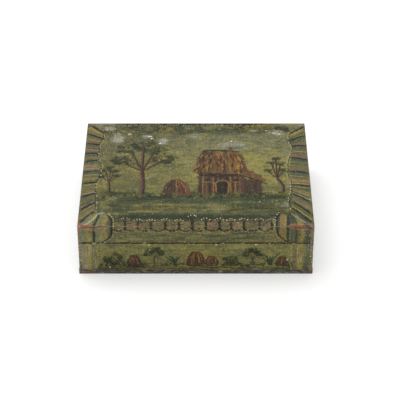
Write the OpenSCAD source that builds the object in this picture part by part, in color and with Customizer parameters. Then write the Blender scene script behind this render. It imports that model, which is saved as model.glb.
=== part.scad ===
// Painted wooden jewelry box: a nailed lower box and a flush lid on two pin hinges, lined with paper.
// The origin is the middle of the underside, +X to the right, +Y to the back and +Z up.

/* [Box] */
// Outside width of the walls, left to right
box_w = 280; // [200:1:400]
// Outside depth of the walls, front to back
box_d = 220; // [150:1:320]
// Height of the lower box, bottom board included
base_h = 46; // [34:1:90]
// Height of the lid, top board included
lid_h = 24.6; // [20:0.1:60]
// Gap between the closed lid and the lower box
seam_gap = 0.4; // [0.2:0.1:0.8]
// Radius of the worn outer edges
edge_r = 1.5; // [0.5:0.1:3]
// Size of the worn bevels along the front and sides of the seam
seam_bevel = 0.6; // [0.2:0.1:1]

/* [Boards] */
// Thickness of the wall boards and the lid's rails
wall_t = 9; // [8:0.5:14]
// Thickness of the lip that covers the end of a front or back board
corner_lip = 4.5; // [3:0.5:6]
// Thickness of the bottom board
bottom_t = 5; // [4:0.5:9]
// How far the bottom board stands out past the walls
bottom_proud = 0.6; // [0:0.1:3]
// Thickness of the lid's top board
panel_t = 7; // [5:0.5:10]

/* [Hinges] */
// Distance of a hinge's middle from the end of the box
hinge_end = 55; // [40:1:70]
// Length of one hinge
hinge_l = 26; // [20:1:40]
// Distance of the hinge axis from the back face
hinge_inset = 3; // [2.6:0.1:3.6]
// Outer radius of the hinge knuckles
knuckle_r = 2; // [1.6:0.1:2.4]
// Radius of the hinge pin
pin_r = 0.9; // [0.6:0.05:1.1]
// Running clearance round the hinge pin
pin_clearance = 0.05; // [0.02:0.01:0.1]
// Clearance of a knuckle to what it turns against
knuckle_clearance = 0.3; // [0.2:0.05:0.5]
// Thickness of a hinge leaf
leaf_t = 1; // [0.7:0.1:1.4]
// Wood left between a hinge leaf and the inside of the wall
leaf_land = 0.5; // [0.3:0.1:1]
// Angle at which the lid rests fully open
open_angle = 100; // [90:1:115]
// Angle left between the two back bevels at that stop
stop_play = 2; // [1:0.5:6]

/* [Nails] */
// Radius of a board nail's shank
nail_r = 0.8; // [0.5:0.1:1.2]
// Radius of a board nail's head
nail_head_r = 1.8; // [1.4:0.1:2.6]
// Height of a board nail's head
nail_head_t = 0.8; // [0.5:0.1:1.2]
// Length of a board nail
nail_l = 18; // [14:1:22]
// Distance of the outer nails in a row from the corner of the box
nail_edge = 40; // [32:1:60]
// How deep the heads under the bottom board are sunk
nail_sunk = 0.3; // [0.1:0.1:0.6]
// Radius of a hinge nail's shank
leaf_nail_r = 0.6; // [0.4:0.1:0.8]
// Radius of a hinge nail's flat head
leaf_nail_head_r = 1.2; // [1:0.1:1.5]
// Length of a hinge nail
leaf_nail_l = 8; // [6:0.5:10]
// Clearance round a nail in its hole
nail_clearance = 0.05; // [0.02:0.01:0.1]

/* [Lining] */
// Thickness of the lining paper on its glue
paper_t = 0.5; // [0.3:0.1:1]
// Gap between two papers at a corner, and round the floor paper
paper_fit = 0.1; // [0.05:0.05:0.3]
// Bare wood left between the wall papers and the rim
paper_margin = 1.2; // [0.5:0.1:4]

/* [Hidden] */
$fn = 48;
lid_z = base_h + seam_gap;
lid_top = lid_z + lid_h;
rail_h = lid_h - panel_t;
base_wall_h = base_h - bottom_t;
inner_w = box_w - 2 * wall_t;
inner_d = box_d - 2 * wall_t;

// The hinge axis lies in the middle of the seam, inside the back face.
hinge_x = box_w / 2 - hinge_end;
axis_y = box_d / 2 - hinge_inset;
axis_z = base_h + seam_gap / 2;
bevel_angle = (open_angle + stop_play) / 2;
leaf_w = wall_t - hinge_inset - leaf_land;
leaf_nail_y = axis_y - (leaf_w + knuckle_r) / 2;
leaf_nail_pitch = hinge_l / 2;
knuckle_side_gap = 0.15;
middle_knuckle_l = hinge_l / 3;

// How far a cutting solid runs past what it cuts.
cut_past = 1;

// Middles of the nail rows, and the nails of each row.
row_x = box_w / 2 - wall_t / 2;
row_y = box_d / 2 - wall_t / 2;
front_row_x = [for (i = [-1:1]) i * (box_w / 2 - nail_edge)];
side_row_y = [for (s = [-1, 1]) s * (box_d / 2 - nail_edge)];
base_corner_z = [for (i = [1, 2]) bottom_t + i * base_wall_h / 3];
lid_corner_z = [lid_z + rail_h / 2];

// Lower and upper edges of the wall papers, and the underside of the paper in the lid.
base_paper_z = [bottom_t + paper_t + paper_fit, base_h - paper_margin];
lid_ceiling_z = lid_top - panel_t - paper_t;
lid_paper_z = [lid_z + paper_margin, lid_ceiling_z - paper_fit];

paint = "olivedrab";
paint_dark = "darkolivegreen";
iron = "dimgray";
paper = "tan";

// Shapes that repeat

module rounded_rect(w, d, r) {
    square([w - 2 * r, d], center = true);
    square([w, d - 2 * r], center = true);
    for (x = [-1, 1], y = [-1, 1])
        translate([x * (w / 2 - r), y * (d / 2 - r)]) circle(r);
}

// A board's section with its two upper corners rounded, standing on the axis.
module round_topped(w, h, r) {
    translate([-w / 2, 0]) square([w, h - r]);
    translate([-w / 2 + r, 0]) square([w - 2 * r, h]);
    for (s = [-1, 1]) translate([s * (w / 2 - r), h - r]) circle(r);
}

// A box between two corners.
module block(low, high) {
    translate(low) cube(high - low);
}

// A nail that points along -Z, with the top of its head at the origin.
module nail(length, shank_r, head_r, head_t) {
    translate([0, 0, -head_t]) cylinder(r = head_r, h = head_t);
    translate([0, 0, -length]) cylinder(r = shank_r, h = length - head_t + head_t / 2);
}

module board_nail() {
    nail(nail_l, nail_r, nail_head_r, nail_head_t);
}

// The hole for a board nail, open above its head by the depth that the head is sunk.
module board_nail_hole(above = 0) {
    hole_r = nail_r + nail_clearance;
    head_hole_r = nail_head_r + nail_clearance;
    translate([0, 0, -nail_head_t]) cylinder(r = head_hole_r, h = nail_head_t + above + cut_past);
    translate([0, 0, -nail_l - nail_clearance]) cylinder(r = hole_r, h = nail_l);
}

// A hinge nail that points along -Z, with the flat of its head at the origin.
module leaf_nail() {
    nail(leaf_nail_l, leaf_nail_r, leaf_nail_head_r, leaf_t / 2);
}

module leaf_nail_hole() {
    translate([0, 0, -leaf_t / 2]) cylinder(r = leaf_nail_head_r + nail_clearance, h = leaf_t);
    translate([0, 0, -leaf_nail_l - nail_clearance])
        cylinder(r = leaf_nail_r + nail_clearance, h = leaf_nail_l);
}

// Places of the nails

module at_corner_nails(heights) {
    for (s = [-1, 1], y = [-row_y, row_y], z = heights)
        translate([s * box_w / 2, y, z]) rotate([0, s * 90, 0]) children();
}

module at_row_nails(z, up) {
    for (x = front_row_x, y = [-row_y, row_y])
        translate([x, y, z]) rotate([up ? 180 : 0, 0, 0]) children();
    for (x = [-row_x, row_x], y = side_row_y)
        translate([x, y, z]) rotate([up ? 180 : 0, 0, 0]) children();
}

module at_bottom_nails() {
    at_row_nails(nail_sunk, true) children();
}

module at_panel_nails() {
    at_row_nails(lid_top, false) children();
}

module at_leaf_nails(z, up) {
    for (hinge = [-1, 1], i = [-1, 1])
        translate([hinge * hinge_x + i * leaf_nail_pitch / 2, leaf_nail_y, z])
            rotate([up ? 180 : 0, 0, 0]) children();
}

// Cuts that the lid and the lower box share

// The groove along the back of the seam. Its two bevels meet when the lid is open.
module back_groove() {
    reach = hinge_inset + cut_past;
    rise = reach * tan(bevel_angle);
    translate([0, axis_y, axis_z]) rotate([90, 0, 90])
        linear_extrude(box_w + 2 * cut_past, center = true)
            polygon([[0, 0], [reach, -rise], [reach, rise]]);
}

// The bevels along the front and both sides of the seam.
module seam_bevels() {
    depth = seam_bevel + seam_gap / 2;
    half = depth + cut_past;
    front_l = box_w + 2 * cut_past;
    side_l = box_d + 2 * cut_past;
    translate([0, 0, axis_z]) {
        translate([0, -box_d / 2, 0]) rotate([90, 0, -90])
            linear_extrude(front_l, center = true) seam_section(depth, half);
        for (s = [-1, 1]) scale_x(s) translate([box_w / 2, 0, 0]) rotate([90, 0, 0])
            linear_extrude(side_l, center = true) seam_section(depth, half);
    }
}

// A square-cornered notch that points inwards from the face at x = 0.
module seam_section(depth, half) {
    polygon([[-depth, 0], [cut_past, -half], [cut_past, half]]);
}

// Seats of one leaf of each hinge, and room for its knuckles to turn.
module hinge_seats(leaf_low) {
    for (hinge = [-1, 1]) translate([hinge * hinge_x, axis_y, 0]) {
        translate([-hinge_l / 2 - nail_clearance, -leaf_w - nail_clearance, leaf_low])
            cube([hinge_l + 2 * nail_clearance, leaf_w + nail_clearance, leaf_t + cut_past]);
        translate([0, 0, axis_z]) rotate([0, 90, 0])
            cylinder(r = knuckle_r + knuckle_clearance, h = hinge_l + 2 * knuckle_clearance, center = true);
    }
}

module base_hinge_seats() {
    hinge_seats(base_h - leaf_t);
}

module lid_hinge_seats() {
    hinge_seats(lid_z - cut_past);
}

// Boards

module outline_column(low_z, height) {
    translate([0, 0, low_z]) linear_extrude(height) rounded_rect(box_w, box_d, edge_r);
}

// A left (-1) or right (1) board over the full depth, rabbeted for the front and back boards.
module side_board(side, low_z, height) {
    outer_x = box_w / 2;
    difference() {
        intersection() {
            outline_column(low_z, height);
            scale_x(side) block([outer_x - wall_t, -box_d, low_z], [box_w, box_d, low_z + height]);
        }
        for (y = [-1, 1]) scale_x(side) scale_y(y)
            block([outer_x - wall_t - cut_past, box_d / 2 - wall_t, low_z - cut_past],
                  [outer_x - corner_lip, box_d, low_z + height + cut_past]);
    }
}

module scale_x(side) {
    if (side < 0) mirror([1, 0, 0]) children();
    else children();
}

module scale_y(side) {
    if (side < 0) mirror([0, 1, 0]) children();
    else children();
}

// A front (-1) or back (1) board that ends in the rabbets of the side boards.
module end_board(side, low_z, height) {
    end_x = box_w / 2 - corner_lip;
    scale_y(side)
        block([-end_x, box_d / 2 - wall_t, low_z], [end_x, box_d / 2, low_z + height]);
}

module base_holes() {
    at_bottom_nails() board_nail_hole(nail_sunk);
    at_corner_nails(base_corner_z) board_nail_hole();
}

module lid_holes() {
    at_panel_nails() board_nail_hole();
    at_corner_nails(lid_corner_z) board_nail_hole();
}

module base_side_wall(side) {
    color(paint) difference() {
        side_board(side, bottom_t, base_wall_h);
        back_groove();
        seam_bevels();
        base_holes();
    }
}

module base_front_wall() {
    color(paint) difference() {
        end_board(-1, bottom_t, base_wall_h);
        seam_bevels();
        base_holes();
    }
}

module base_back_wall() {
    color(paint) difference() {
        end_board(1, bottom_t, base_wall_h);
        back_groove();
        base_holes();
        base_hinge_seats();
        at_leaf_nails(base_h, false) leaf_nail_hole();
    }
}

module bottom_board() {
    grown = 2 * bottom_proud;
    color(paint_dark) difference() {
        linear_extrude(bottom_t) rounded_rect(box_w + grown, box_d + grown, edge_r);
        at_bottom_nails() board_nail_hole(nail_sunk);
    }
}

module lid_side_rail(side) {
    color(paint) difference() {
        side_board(side, lid_z, rail_h);
        back_groove();
        seam_bevels();
        lid_holes();
    }
}

module lid_front_rail() {
    color(paint) difference() {
        end_board(-1, lid_z, rail_h);
        seam_bevels();
        lid_holes();
    }
}

module lid_back_rail() {
    color(paint) difference() {
        end_board(1, lid_z, rail_h);
        back_groove();
        lid_holes();
        lid_hinge_seats();
        at_leaf_nails(lid_z, true) leaf_nail_hole();
    }
}

module lid_panel() {
    panel_z = lid_top - panel_t;
    color(paint) difference() {
        intersection() {
            outline_column(panel_z, panel_t);
            translate([0, 0, panel_z]) rotate([90, 0, 0])
                linear_extrude(box_d, center = true) round_topped(box_w, panel_t, edge_r);
            translate([0, 0, panel_z]) rotate([90, 0, 90])
                linear_extrude(box_w, center = true) round_topped(box_d, panel_t, edge_r);
        }
        at_panel_nails() board_nail_hole();
    }
}

// Nails

module base_corner_nails() {
    color(iron) at_corner_nails(base_corner_z) board_nail();
}

module bottom_board_nails() {
    color(iron) at_bottom_nails() board_nail();
}

module lid_corner_nails() {
    color(iron) at_corner_nails(lid_corner_z) board_nail();
}

module lid_panel_nails() {
    color(iron) at_panel_nails() board_nail();
}

module base_leaf_nails() {
    color(iron) at_leaf_nails(base_h, false) leaf_nail();
}

module lid_leaf_nails() {
    color(iron) at_leaf_nails(lid_z, true) leaf_nail();
}

// Hinges

module barrel(r, length) {
    rotate([0, 90, 0]) cylinder(r = r, h = length, center = true);
}

// One knuckle from x0 to x1 on the hinge axis.
module knuckle(x0, x1, r) {
    translate([(x0 + x1) / 2, 0, 0]) barrel(r, x1 - x0);
}

// The stretch of the middle knuckle, grown by a gap at both ends.
module middle_stretch(r, gap) {
    half = middle_knuckle_l / 2 + gap;
    knuckle(-half, half, r);
}

// The stretches of the two outer knuckles, grown by a gap towards the middle.
module outer_stretches(r, gap, past = 0) {
    half = middle_knuckle_l / 2 + knuckle_side_gap - gap;
    for (s = [-1, 1]) scale_x(s) knuckle(half, hinge_l / 2 + past, r);
}

// A leaf plate beside the axis, with the face that meets the other leaf half the seam from the axis.
module leaf_plate(side) {
    low = side < 0 ? -seam_gap / 2 - leaf_t : seam_gap / 2;
    translate([-hinge_l / 2, -leaf_w, low]) cube([hinge_l, leaf_w, leaf_t]);
}

module hinge_place(hinge) {
    translate([hinge * hinge_x, axis_y, axis_z]) children();
}

module hinge_base_leaf(hinge) {
    color(iron) difference() {
        hinge_place(hinge) difference() {
            union() {
                leaf_plate(-1);
                outer_stretches(knuckle_r, 0);
            }
            middle_stretch(knuckle_r + knuckle_clearance, knuckle_side_gap);
            barrel(pin_r + pin_clearance, hinge_l + 2 * cut_past);
        }
        at_leaf_nails(base_h, false) leaf_nail_hole();
    }
}

module hinge_lid_leaf(hinge) {
    color(iron) difference() {
        hinge_place(hinge) difference() {
            union() {
                leaf_plate(1);
                middle_stretch(knuckle_r, 0);
            }
            outer_stretches(knuckle_r + knuckle_clearance, knuckle_side_gap, cut_past);
            barrel(pin_r + pin_clearance, hinge_l + 2 * cut_past);
        }
        at_leaf_nails(lid_z, true) leaf_nail_hole();
    }
}

module hinge_pin(hinge) {
    color(iron) hinge_place(hinge) barrel(pin_r, hinge_l);
}

// Lining papers

module floor_sheet(low_z) {
    half_w = inner_w / 2 - paper_fit;
    half_d = inner_d / 2 - paper_fit;
    color(paper) block([-half_w, -half_d, low_z], [half_w, half_d, low_z + paper_t]);
}

// A strip on the front (-1) or back (1) wall.
module end_strip(side, low_z, high_z) {
    half_w = inner_w / 2 - paper_fit;
    color(paper) scale_y(side)
        block([-half_w, inner_d / 2 - paper_t, low_z], [half_w, inner_d / 2, high_z]);
}

// A strip on the left (-1) or right (1) wall, between the front and back strips.
module side_strip(side, low_z, high_z) {
    half_d = inner_d / 2 - paper_t - paper_fit;
    color(paper) scale_x(side)
        block([inner_w / 2 - paper_t, -half_d, low_z], [inner_w / 2, half_d, high_z]);
}

// Lower box

bottom_board();
base_front_wall();
base_back_wall();
base_side_wall(-1);  // base_left_wall
base_side_wall(1);  // base_right_wall
base_corner_nails();
bottom_board_nails();
floor_sheet(bottom_t);  // base_floor_paper
end_strip(-1, base_paper_z[0], base_paper_z[1]);  // base_front_paper
end_strip(1, base_paper_z[0], base_paper_z[1]);  // base_back_paper
side_strip(-1, base_paper_z[0], base_paper_z[1]);  // base_left_paper
side_strip(1, base_paper_z[0], base_paper_z[1]);  // base_right_paper
hinge_base_leaf(-1);  // left_hinge_base_leaf
hinge_base_leaf(1);  // right_hinge_base_leaf
hinge_pin(-1);  // left_hinge_pin
hinge_pin(1);  // right_hinge_pin
base_leaf_nails();

// Lid

lid_panel();
lid_front_rail();
lid_back_rail();
lid_side_rail(-1);  // lid_left_rail
lid_side_rail(1);  // lid_right_rail
lid_corner_nails();
lid_panel_nails();
floor_sheet(lid_ceiling_z);  // lid_ceiling_paper
end_strip(-1, lid_paper_z[0], lid_paper_z[1]);  // lid_front_paper
end_strip(1, lid_paper_z[0], lid_paper_z[1]);  // lid_back_paper
side_strip(-1, lid_paper_z[0], lid_paper_z[1]);  // lid_left_paper
side_strip(1, lid_paper_z[0], lid_paper_z[1]);  // lid_right_paper
hinge_lid_leaf(-1);  // left_hinge_lid_leaf
hinge_lid_leaf(1);  // right_hinge_lid_leaf
lid_leaf_nails();
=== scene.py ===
import math
import random

import bpy
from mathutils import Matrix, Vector


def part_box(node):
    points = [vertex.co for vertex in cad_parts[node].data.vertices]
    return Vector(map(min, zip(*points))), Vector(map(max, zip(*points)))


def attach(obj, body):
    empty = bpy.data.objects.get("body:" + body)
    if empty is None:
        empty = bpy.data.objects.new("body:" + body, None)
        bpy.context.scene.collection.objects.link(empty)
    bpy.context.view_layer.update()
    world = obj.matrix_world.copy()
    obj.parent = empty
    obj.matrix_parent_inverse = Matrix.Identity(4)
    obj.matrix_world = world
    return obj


# A painted wooden jewelry box. The boards keep their solid shape and get an aged paint coat,
# and the ornament is laid on them as thin soft brush strokes and raised beads of paint.
# Lengths are in mm in the shared frame until a mesh is made.

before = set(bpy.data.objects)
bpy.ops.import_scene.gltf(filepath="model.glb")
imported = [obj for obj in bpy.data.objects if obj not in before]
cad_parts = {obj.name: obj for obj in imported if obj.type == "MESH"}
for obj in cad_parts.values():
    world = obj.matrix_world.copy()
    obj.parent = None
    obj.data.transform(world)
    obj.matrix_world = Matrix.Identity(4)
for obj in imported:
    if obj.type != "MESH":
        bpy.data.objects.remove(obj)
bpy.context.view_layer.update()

MM = 0.001
HALF_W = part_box("lid_panel")[1].x / MM
HALF_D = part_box("lid_panel")[1].y / MM
TOP_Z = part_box("lid_panel")[1].z / MM
BASE_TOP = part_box("base_front_wall")[1].z / MM
LID_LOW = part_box("lid_front_rail")[0].z / MM
BOTTOM_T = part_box("base_front_wall")[0].z / MM
INNER_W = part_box("base_floor_paper")[1].x / MM
INNER_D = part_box("base_floor_paper")[1].y / MM
SEAM_Z = (BASE_TOP + LID_LOW) / 2
# The worn round edge of the lid's top: its radius and the length of its arc.
EDGE_R = 1.5
EDGE_ARC = EDGE_R * math.pi / 2
# How high strokes reach on the base: below the worn seam, and below the hinge groove at the back.
WALL_HIGH = SEAM_Z - 0.9
GROOVE_LOW = SEAM_Z - 4.1

# Colours, sRGB 0 to 255.
DARK = (27, 31, 27)
DARK_TEAL = (44, 54, 47)
TEAL = (76, 88, 68)
GREEN = (92, 98, 60)
OLIVE = (110, 106, 62)
OCHRE = (140, 120, 66)
TAN = (122, 106, 74)
CREAM = (216, 206, 152)
PALE = (160, 160, 142)
WHITE = (226, 222, 208)
BROWN = (74, 54, 45)
RUSSET = (100, 68, 50)
AMBER = (148, 112, 56)
UMBER = (44, 37, 32)

# Ground colours of the lid's top by y, and of the walls by z.
PICTURE_COAT = (
    (110, (14, 16, 15)), (105, (16, 19, 18)), (98, (14, 21, 20)), (90, (34, 42, 36)),
    (78, (115, 115, 87)), (50, (124, 121, 84)), (18, (139, 132, 79)), (-22, (131, 124, 73)),
    (-44, (110, 107, 65)), (-51, (78, 85, 57)), (-59, (72, 81, 56)), (-67, (90, 91, 57)),
    (-75, (98, 95, 54)), (-82, (72, 76, 47)), (-88, (40, 50, 38)), (-95, (31, 37, 29)),
    (-99, (72, 66, 48)), (-110, (86, 77, 56)),
)
LID_WALL_COAT = (
    (46, (92, 90, 62)), (52, (106, 106, 70)), (60, (104, 104, 73)), (64, (110, 103, 76)),
    (71, (112, 102, 78)),
)
BASE_WALL_COAT = (
    (0, (70, 66, 56)), (5, (80, 74, 56)), (9, (84, 80, 52)), (15, (97, 95, 60)),
    (21, (114, 112, 68)), (34, (124, 121, 74)), (46, (116, 115, 72)),
)


def linear(colour):
    """An sRGB colour of 0 to 255 as a linear RGBA tuple."""
    def channel(value):
        share = value / 255
        return share / 12.92 if share <= 0.04045 else ((share + 0.055) / 1.055) ** 2.4
    return (*(channel(value) for value in colour), 1.0)


# Shader graphs

class Graph:
    """Short calls for building the nodes of a material or of the world."""

    def __init__(self, owner):
        owner.use_nodes = True
        self.owner = owner
        self.tree = owner.node_tree
        self.tree.nodes.clear()

    def node(self, kind, inputs=(), **settings):
        """A new node with these settings, and its inputs linked to a socket or set to a value."""
        made = self.tree.nodes.new(kind)
        for key, value in settings.items():
            setattr(made, key, value)
        for key, value in dict(inputs).items():
            if isinstance(value, bpy.types.NodeSocket):
                self.tree.links.new(value, made.inputs[key])
            else:
                made.inputs[key].default_value = value
        return made

    def math(self, operation, a, b=0.0):
        return self.node("ShaderNodeMath", {0: a, 1: b}, operation=operation).outputs[0]

    def chain(self, operation, values):
        result, *rest = values
        for value in rest:
            result = self.math(operation, result, value)
        return result

    def total(self, *values):
        return self.chain("ADD", values)

    def times(self, *values):
        return self.chain("MULTIPLY", values)

    def most(self, *values):
        return self.chain("MAXIMUM", values)

    def least(self, *values):
        return self.chain("MINIMUM", values)

    def minus(self, a, b):
        return self.math("SUBTRACT", a, b)

    def absolute(self, value):
        return self.math("ABSOLUTE", value)


class Surface(Graph):
    """The nodes of a material on the box. Lengths are in mm."""

    def __init__(self, name):
        super().__init__(bpy.data.materials.new(name))
        coordinates = self.node("ShaderNodeTexCoord").outputs
        self.mm = self.scaled(coordinates["Object"], 1 / MM)
        self.x, self.y, self.z = self.split(self.mm)
        self.facing = self.split(coordinates["Normal"])

    def from_side(self, half=HALF_W):
        """The distance inwards from the nearer side."""
        return self.minus(half, self.absolute(self.x))

    def from_end(self, half=HALF_D):
        """The distance inwards from the front or back, whichever is nearer."""
        return self.minus(half, self.absolute(self.y))

    def from_back(self):
        return self.minus(HALF_D, self.y)

    def from_top(self):
        return self.minus(TOP_Z, self.z)

    def from_seam(self):
        return self.absolute(self.minus(self.z, SEAM_Z))

    def attribute(self, name):
        return self.node("ShaderNodeAttribute", attribute_name=name).outputs

    def split(self, vector):
        return self.node("ShaderNodeSeparateXYZ", {0: vector}).outputs

    def scaled(self, vector, scale):
        return self.node("ShaderNodeVectorMath", {0: vector, "Scale": scale}, operation="SCALE").outputs[0]

    def vectors(self, operation, a, b=(0, 0, 0), output="Vector"):
        return self.node("ShaderNodeVectorMath", {0: a, 1: b}, operation=operation).outputs[output]

    def sway(self, noise, reach):
        """A noise as a shift of about plus or minus a share of reach."""
        return self.times(self.minus(noise, 0.5), reach)

    def smooth(self, value, start, end):
        """0 up to start, 1 from end, smooth between; falls instead if end is below start."""
        inputs = {"Value": value, "From Min": start, "From Max": end}
        return self.node("ShaderNodeMapRange", inputs, interpolation_type="SMOOTHSTEP").outputs[0]

    def noise(self, size, detail=3.0, stretch=(1, 1, 1), warp=0.0, where=None):
        """Noise with lumps of about that size, drawn out along the axes by stretch."""
        steps = tuple(1 / (size * share) for share in stretch)
        place = self.vectors("MULTIPLY", where or self.mm, steps)
        inputs = {"Vector": place, "Scale": 1.0, "Detail": detail, "Distortion": warp}
        return self.node("ShaderNodeTexNoise", inputs).outputs[0]

    def patches(self, start, end, *noise):
        """A mask of soft patches: where a noise passes from start to end."""
        return self.smooth(self.noise(*noise), start, end)

    def cells(self, size):
        """Spots about a size apart: the distance to each, and a colour of its own."""
        return self.node("ShaderNodeTexVoronoi", {"Vector": self.mm, "Scale": 1 / size}).outputs

    def mix(self, share, a, b):
        a, b = (linear(colour) if isinstance(colour, tuple) else colour for colour in (a, b))
        return self.node("ShaderNodeMix", {0: share, 6: a, 7: b}, data_type="RGBA").outputs[2]

    def tints(self, colour, *layers):
        """The colour with tones laid over it in turn: each a tone, a mask of 0 to 1 and a share."""
        for tone, mask, share in layers:
            colour = self.mix(self.times(mask, share), colour, tone)
        return colour

    def by_height(self, value, stops):
        """The colour at a height, from stops of (height, colour)."""
        stops = sorted(stops)
        low, high = float(stops[0][0]), float(stops[-1][0])
        share = self.node("ShaderNodeMapRange", {"Value": value, "From Min": low, "From Max": high})
        made = self.node("ShaderNodeValToRGB", {0: share.outputs[0]})
        marks = made.color_ramp.elements
        while len(marks) < len(stops):
            marks.new(0.5)
        for mark, (height, _) in zip(marks, stops):
            mark.position = (height - low) / (high - low)
        for mark, (_, colour) in zip(marks, stops):
            mark.color = linear(colour)
        return made.outputs[0]

    def finish(self, colour, roughness, bump, depth, metallic=0.0, gloss=0.5, normal=None):
        """The material, with a bump of a depth on its own or a given normal."""
        relief = {"Height": bump, "Distance": depth * MM}
        if normal is not None:
            relief["Normal"] = normal
        shader = self.node("ShaderNodeBsdfPrincipled", {
            "Base Color": colour, "Roughness": roughness, "Metallic": metallic,
            "Specular IOR Level": gloss, "Normal": self.node("ShaderNodeBump", relief).outputs[0]})
        self.node("ShaderNodeOutputMaterial", {"Surface": shader.outputs[0]})
        return self.owner


# Paint, wood, iron and paper

# Old size paint under a thin dull varnish.
PAINT_GLOSS = 0.11
# Clouds and smears rubbed into the picture: middle, half width and half height.
CLOUDS = (
    (-100, 74, 14, 20), (-112, 97, 15, 8), (-64, 80, 10, 6), (-42, 68, 10, 10), (0, 80, 12, 9),
    (46, 60, 34, 11), (72, 92, 10, 5), (103, 87, 18, 9), (-113, -86, 9, 7), (107, -68, 8, 8),
    (76, -40, 10, 3),
)


def clouded(g, colour):
    """The colour of the picture with its pale clouds."""
    body = 0.0
    for u, v, wide, high in CLOUDS:
        away = g.vectors("SUBTRACT", g.mm, (u, v, 0))
        away = g.vectors("MULTIPLY", away, (1 / wide, 1 / high, 0))
        body = g.most(body, g.smooth(g.vectors("LENGTH", away, output="Value"), 1.3, 0.2))
    rubbed = g.total(body, g.sway(g.noise(6, 5, (2.0, 1, 1), 0.7), 2.0),
                     g.sway(g.noise(1.1, 4, (1, 4, 1)), 1.3), g.sway(g.noise(0.9, 3, (5, 1, 1)), 0.9))
    return g.tints(colour, ((164, 164, 152), g.times(body, g.smooth(rubbed, 0.4, 1.05)), 0.95))


def paint_coat(g):
    """The ground colours of the painted faces, before any stroke or wear."""
    drift = g.noise(26, 3, (2.6, 1, 1))
    picture = g.by_height(g.total(g.y, g.sway(drift, 11.0)), PICTURE_COAT)
    dim_left = g.smooth(g.total(g.x, g.sway(drift, 60.0)), 30.0, -70.0)
    picture = clouded(g, g.tints(picture, ((72, 74, 54), dim_left, 0.64)))
    border = g.mix(g.patches(0.4, 0.6, 16, 2, (3, 1, 1)), (86, 88, 62), (106, 97, 70))
    outwards = g.total(g.absolute(g.x), g.sway(drift, 3.0))
    top = g.mix(g.smooth(outwards, 117.0, 120.0), picture, border)
    height = g.total(g.z, g.sway(drift, 5.0))
    above_seam = g.math("GREATER_THAN", g.z, SEAM_Z)
    wall = g.mix(above_seam, g.by_height(height, BASE_WALL_COAT), g.by_height(height, LID_WALL_COAT))
    brushed, upright = g.noise(1.5, 4, (7, 1, 1), 0.3), g.noise(1.3, 4, (1, 6, 6), 0.3)
    streak = g.total(g.times(brushed, 0.6), g.times(upright, 0.4))
    dabs = g.noise(10, 4, (2.0, 1.2, 1), 0.5)
    mottle = g.noise(2.6, 5, (1.2, 1.4, 1))
    return g.tints(
        g.mix(g.smooth(g.facing[2], 0.45, 0.8), wall, top),
        ((82, 94, 68), g.patches(0.5, 0.68, 42, 3, (1.6, 1, 1)), 0.45),
        ((146, 132, 56), g.patches(0.52, 0.68, 34, 3, (2.2, 1, 1), 0.6), 0.5),
        ((142, 143, 122), g.patches(0.58, 0.74, 21, 4, (1.7, 1, 1), 0.4), 0.45),
        ((168, 157, 98), g.smooth(streak, 0.5, 0.66), 0.34),
        ((54, 60, 42), g.smooth(streak, 0.5, 0.35), 0.42),
        ((158, 147, 82), g.smooth(dabs, 0.52, 0.7), 0.42),
        ((62, 74, 56), g.smooth(dabs, 0.48, 0.3), 0.46),
        ((164, 153, 92), g.smooth(mottle, 0.52, 0.7), 0.34),
        ((58, 63, 43), g.smooth(mottle, 0.48, 0.3), 0.36))


def worn_edges(g, colour):
    """Edges rubbed through to a pale primer and, at the front corners, to red wood.

    Gives the colour and the distance from the nearest upright edge.
    """
    side, top, foot_z = g.from_side(), g.from_top(), g.z
    front, back = g.total(g.y, HALF_D), g.from_back()
    edges = ((front, top), (back, top), (side, top), (side, front), (side, back),
             (front, foot_z), (side, foot_z), (back, foot_z))
    nearest = g.least(*(g.most(a, b) for a, b in edges))
    corner = g.times(g.smooth(side, 38.0, 20.0), g.smooth(g.most(front, top), 9.0, 6.0))
    foot = g.times(g.smooth(side, 16.0, 6.0), g.smooth(foot_z, 15.0, 7.0))
    patch = g.patches(0.5, 0.66, 30, 2)
    reach = g.total(0.16, g.times(patch, 0.6), g.times(corner, 4.0), g.times(foot, 1.2))
    ragged = g.total(g.sway(g.noise(7, 4, (1.6, 1.6, 1)), 2.6), g.sway(g.noise(1.3, 5, (7, 7, 1)), 3.0))
    worn = g.minus(g.total(1.0, ragged), g.math("DIVIDE", nearest, reach))
    wood = g.mix(g.patches(0.4, 0.6, 2.0, 4, (8, 8, 1)), (92, 62, 45), (150, 90, 58))
    rubbed = g.mix(g.most(corner, g.times(foot, 0.5)), (112, 99, 76), wood)
    colour = g.tints(colour, ((158, 153, 130), g.smooth(worn, -0.6, 0.1), 0.36),
                     (rubbed, g.smooth(worn, 0.16, 0.34), 0.9))
    return colour, g.most(side, g.least(front, back))


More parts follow.
